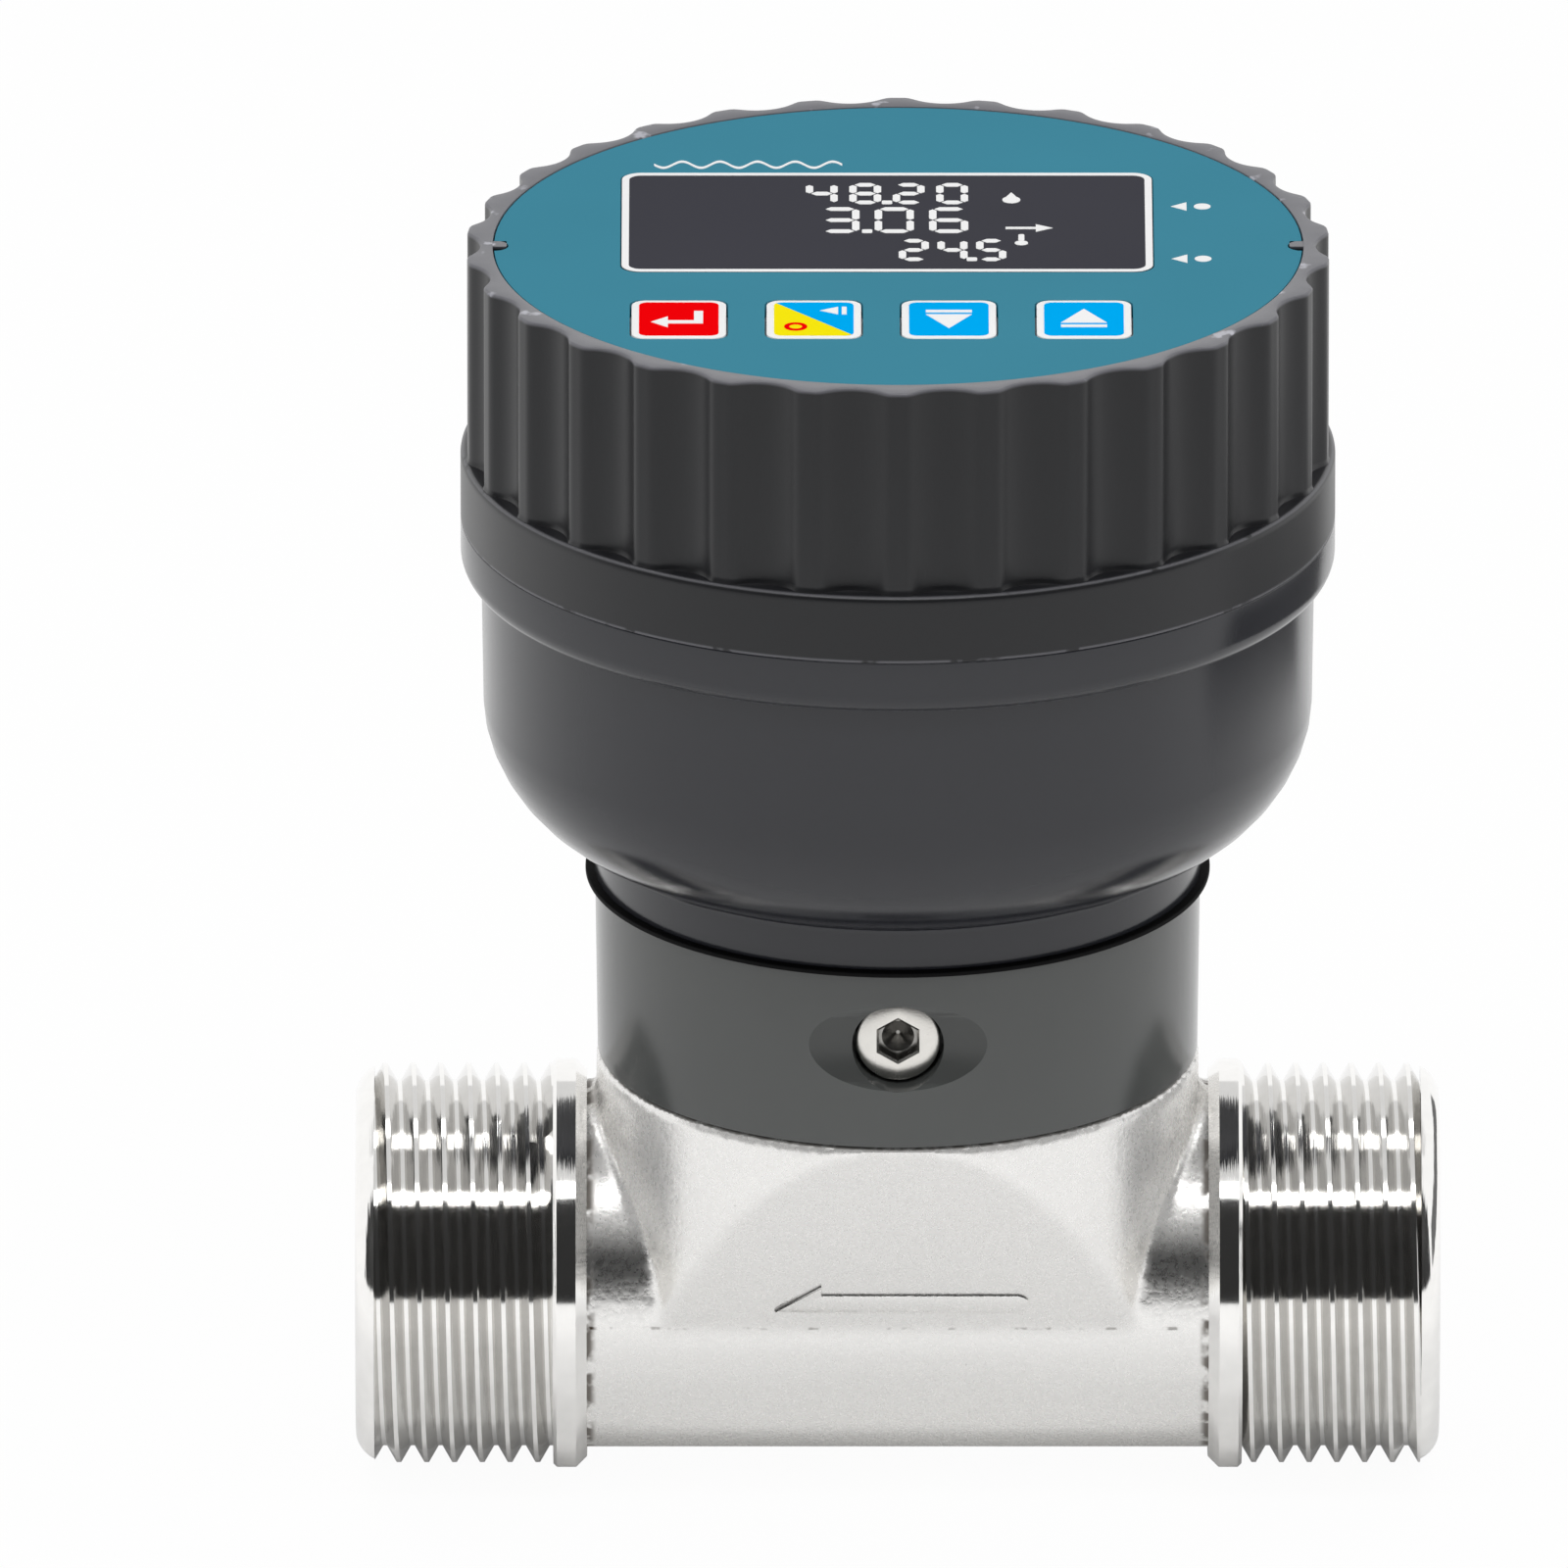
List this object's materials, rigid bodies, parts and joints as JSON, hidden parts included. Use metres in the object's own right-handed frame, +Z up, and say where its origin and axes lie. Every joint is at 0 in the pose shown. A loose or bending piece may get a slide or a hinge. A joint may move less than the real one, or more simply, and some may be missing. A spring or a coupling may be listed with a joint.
{
  "type": "digital flow meter",
  "caption": "In-line turbine flow meter: nickel-plated cast body with male threaded ends and a swivelling round head with fluted bezel, display window and keys.",
  "frame": {"origin": "under the head's swivel axis, level with the lowest point of the pipe shoulders", "axes": "+X along the flow axis towards the inlet end, +Z up along the head's swivel axis, the keys face -Y"},
  "size_m": [0.09, 0.0724, 0.1071],
  "materials": {
    "nickel_brass": "nickel plated, cast skin with machined threads",
    "housing_grey": "satin moulded",
    "bezel_grey": "satin moulded",
    "collar_grey": "matt moulded",
    "black_rubber": "matt",
    "screw_steel": "turned",
    "panel_teal": "printed foil",
    "window_dark": "clear gloss over dark print",
    "key_red": "printed",
    "key_yellow": "printed, yellow and blue",
    "key_blue": "printed",
    "cartridge_plastic": "moulded",
    "rotor_plastic": "moulded",
    "bush_plastic": "moulded",
    "magnet_steel": "ground",
    "board_green": "solder mask",
    "battery_wrap": "shrink wrap",
    "contact_brass": "bright strip"
  },
  "bodies": {
    "base": {"flow_body": "nickel_brass", "inlet_flow_straightener": "cartridge_plastic", "outlet_bearing_support": "cartridge_plastic", "retaining_ring": "screw_steel", "rotor_bushes": "bush_plastic", "swivel_o_ring": "black_rubber"},
    "turbine": {"rotor": "rotor_plastic", "rotor_shaft": "screw_steel", "rotor_magnets": "magnet_steel"},
    "head": {"mounting_collar": "collar_grey", "clamp_screws": "screw_steel", "collar_screws": "screw_steel", "neck_gasket": "black_rubber", "housing": "housing_grey", "bezel_ring": "bezel_grey", "bezel_seal": "black_rubber", "front_panel": "panel_teal", "panel_seal": "black_rubber", "display_window": "window_dark", "lcd_module": "window_dark", "lcd_frame": "bezel_grey", "display_board": "board_green", "board_screws": "screw_steel", "key_switches": "bezel_grey", "sensor_probe": "cartridge_plastic", "sensor_lead": "black_rubber", "lead_connector": "cartridge_plastic", "battery": "battery_wrap", "battery_holder": "bezel_grey", "holder_screws": "screw_steel", "battery_contacts": "contact_brass", "battery_leads": "black_rubber"},
    "set_key": {"key_set": "key_red"},
    "shift_key": {"key_shift": "key_yellow"},
    "down_key": {"key_down": "key_blue"},
    "up_key": {"key_up": "key_blue"}
  },
  "joints": [
    {"name": "head_swivel", "type": "hinge", "parent": "base", "child": "head", "pos_m": [0, 0, 0.0367], "axis": [0, 0, 1], "range_deg": [-165, 165]},
    {"name": "turbine_spin", "type": "hinge", "parent": "base", "child": "turbine", "pos_m": [0, 0, 0.017], "axis": [1, 0, 0], "continuous": true},
    {"name": "set_press", "type": "slide", "parent": "head", "child": "set_key", "axis": [0, 0, -1], "range_m": [0, 0.0005], "stiffness_N_per_m": 3000},
    {"name": "shift_press", "type": "slide", "parent": "head", "child": "shift_key", "axis": [0, 0, -1], "range_m": [0, 0.0005], "stiffness_N_per_m": 3000},
    {"name": "down_press", "type": "slide", "parent": "head", "child": "down_key", "axis": [0, 0, -1], "range_m": [0, 0.0005], "stiffness_N_per_m": 3000},
    {"name": "up_press", "type": "slide", "parent": "head", "child": "up_key", "axis": [0, 0, -1], "range_m": [0, 0.0005], "stiffness_N_per_m": 3000}
  ]
}
